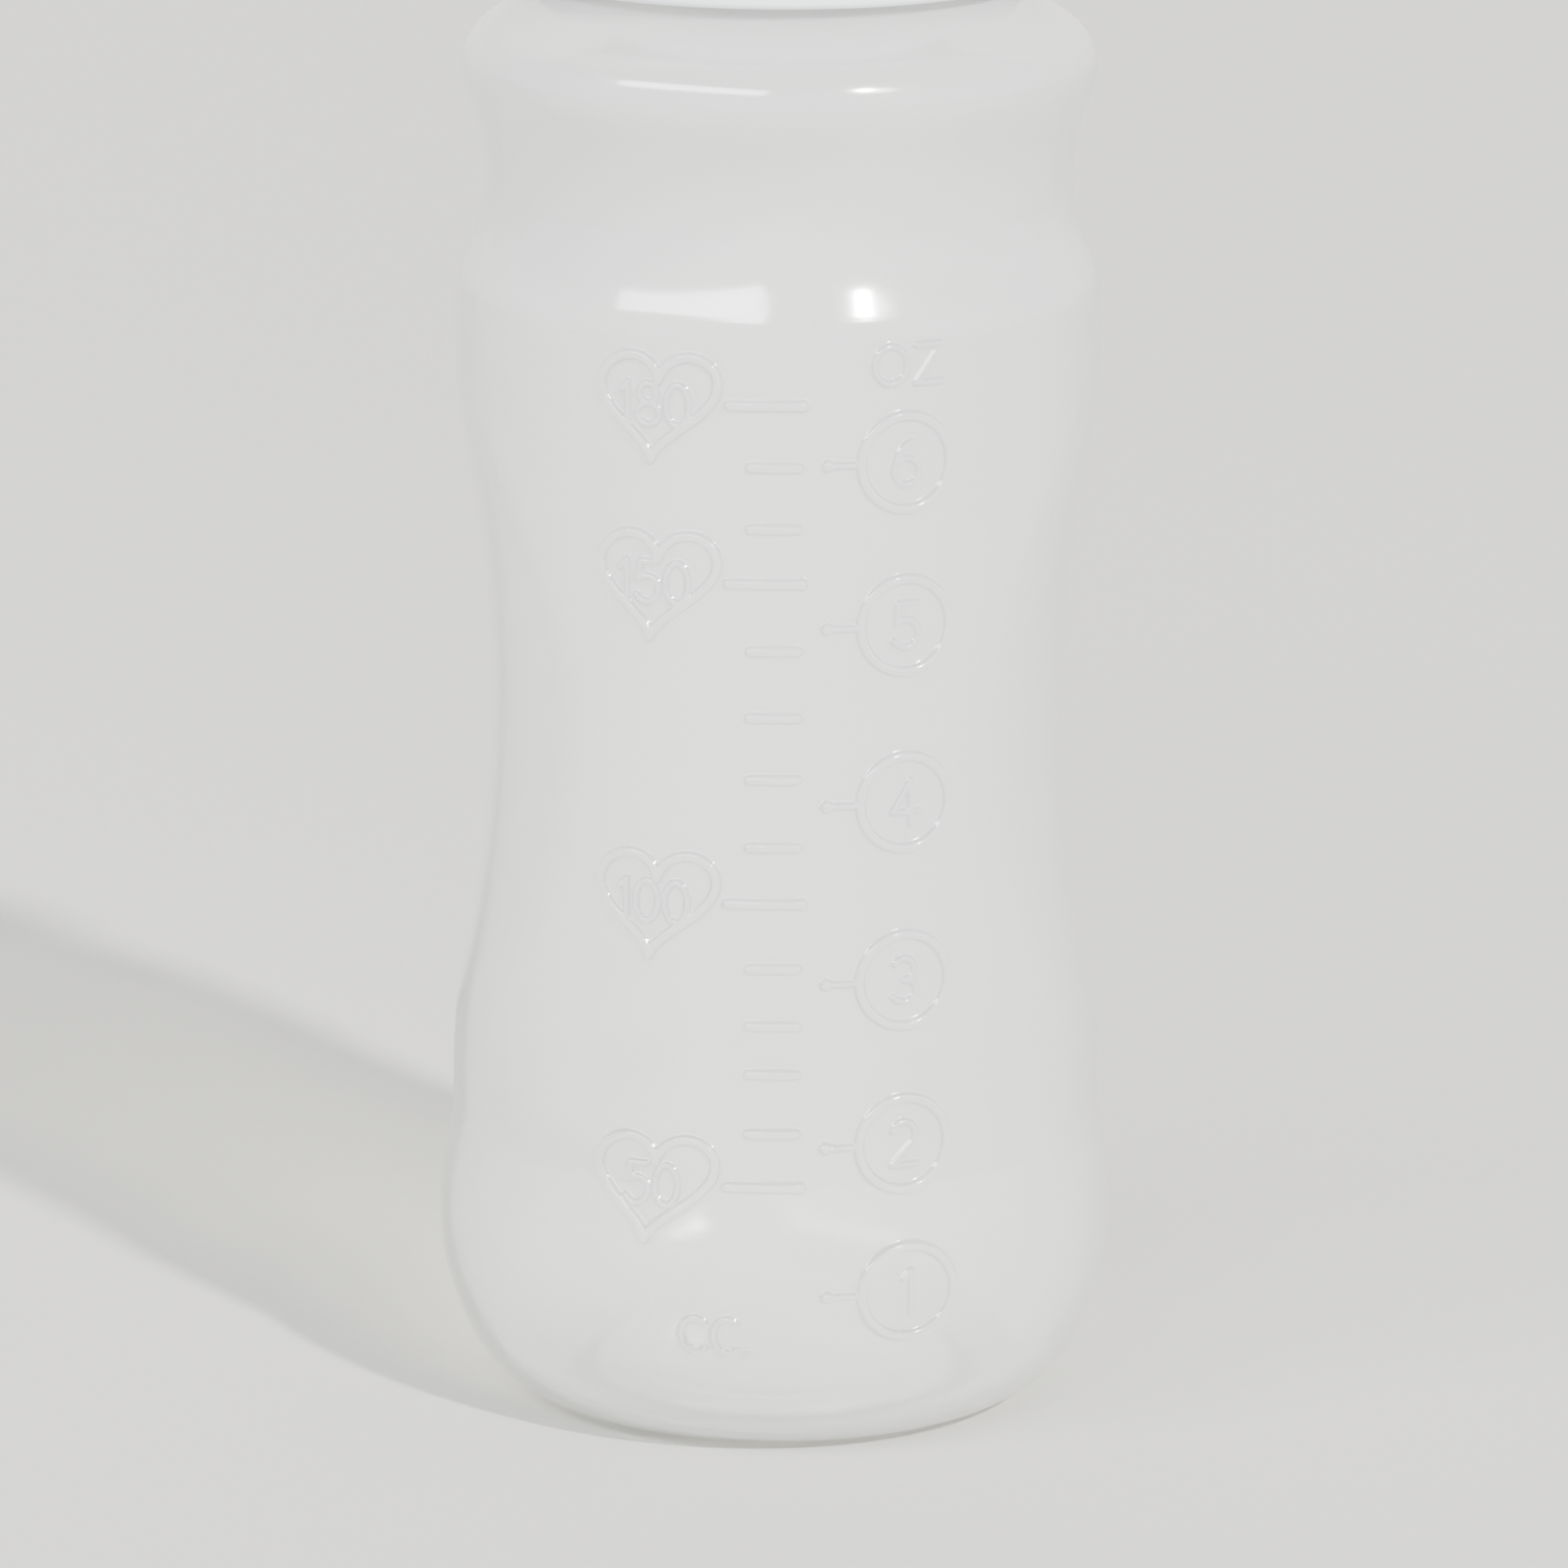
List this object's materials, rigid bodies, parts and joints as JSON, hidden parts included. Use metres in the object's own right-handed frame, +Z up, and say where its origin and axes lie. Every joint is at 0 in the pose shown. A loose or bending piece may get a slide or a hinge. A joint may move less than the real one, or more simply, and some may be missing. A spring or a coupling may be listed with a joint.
{
  "type": "baby bottle",
  "caption": "Translucent waisted feeding bottle with moulded volume scale, screw ring, silicone teat and push-on hood.",
  "frame": {"origin": "centre of the foot, on the surface that the bottle stands on", "axes": "+Z up along the bottle's axis, -Y towards the front with the volume scale, the waisted side grips face +X and -X"},
  "size_m": [0.0578, 0.0578, 0.178],
  "materials": {
    "body_pp": "milky translucent polypropylene, smooth and glossy",
    "ring_pp": "opaque white polypropylene, smooth with a soft gloss",
    "teat_silicone": "clear to milky silicone, satin",
    "hood_pp": "clear polypropylene with a slight haze, glossy"
  },
  "bodies": {
    "bottle": {"bottle_body": "body_pp"},
    "closure": {"teat": "teat_silicone"},
    "ring": {"screw_ring": "ring_pp"},
    "cap": {"hood": "hood_pp"}
  },
  "joints": [
    {"name": "closure_lift", "type": "slide", "parent": "bottle", "child": "closure", "axis": [0, 0, 1], "range_m": [0, 0.014]},
    {"name": "ring_turn", "type": "hinge", "parent": "closure", "child": "ring", "pos_m": [0, 0, 0.13], "axis": [0, 0, 1], "range_deg": [0, 1260]},
    {"name": "hood_pull", "type": "slide", "parent": "ring", "child": "cap", "axis": [0, 0, 1], "range_m": [0, 0.045]}
  ],
  "couplings": [
    {"joint": "closure_lift", "follows": "ring_turn", "m_per_rad": 0.00063662}
  ]
}
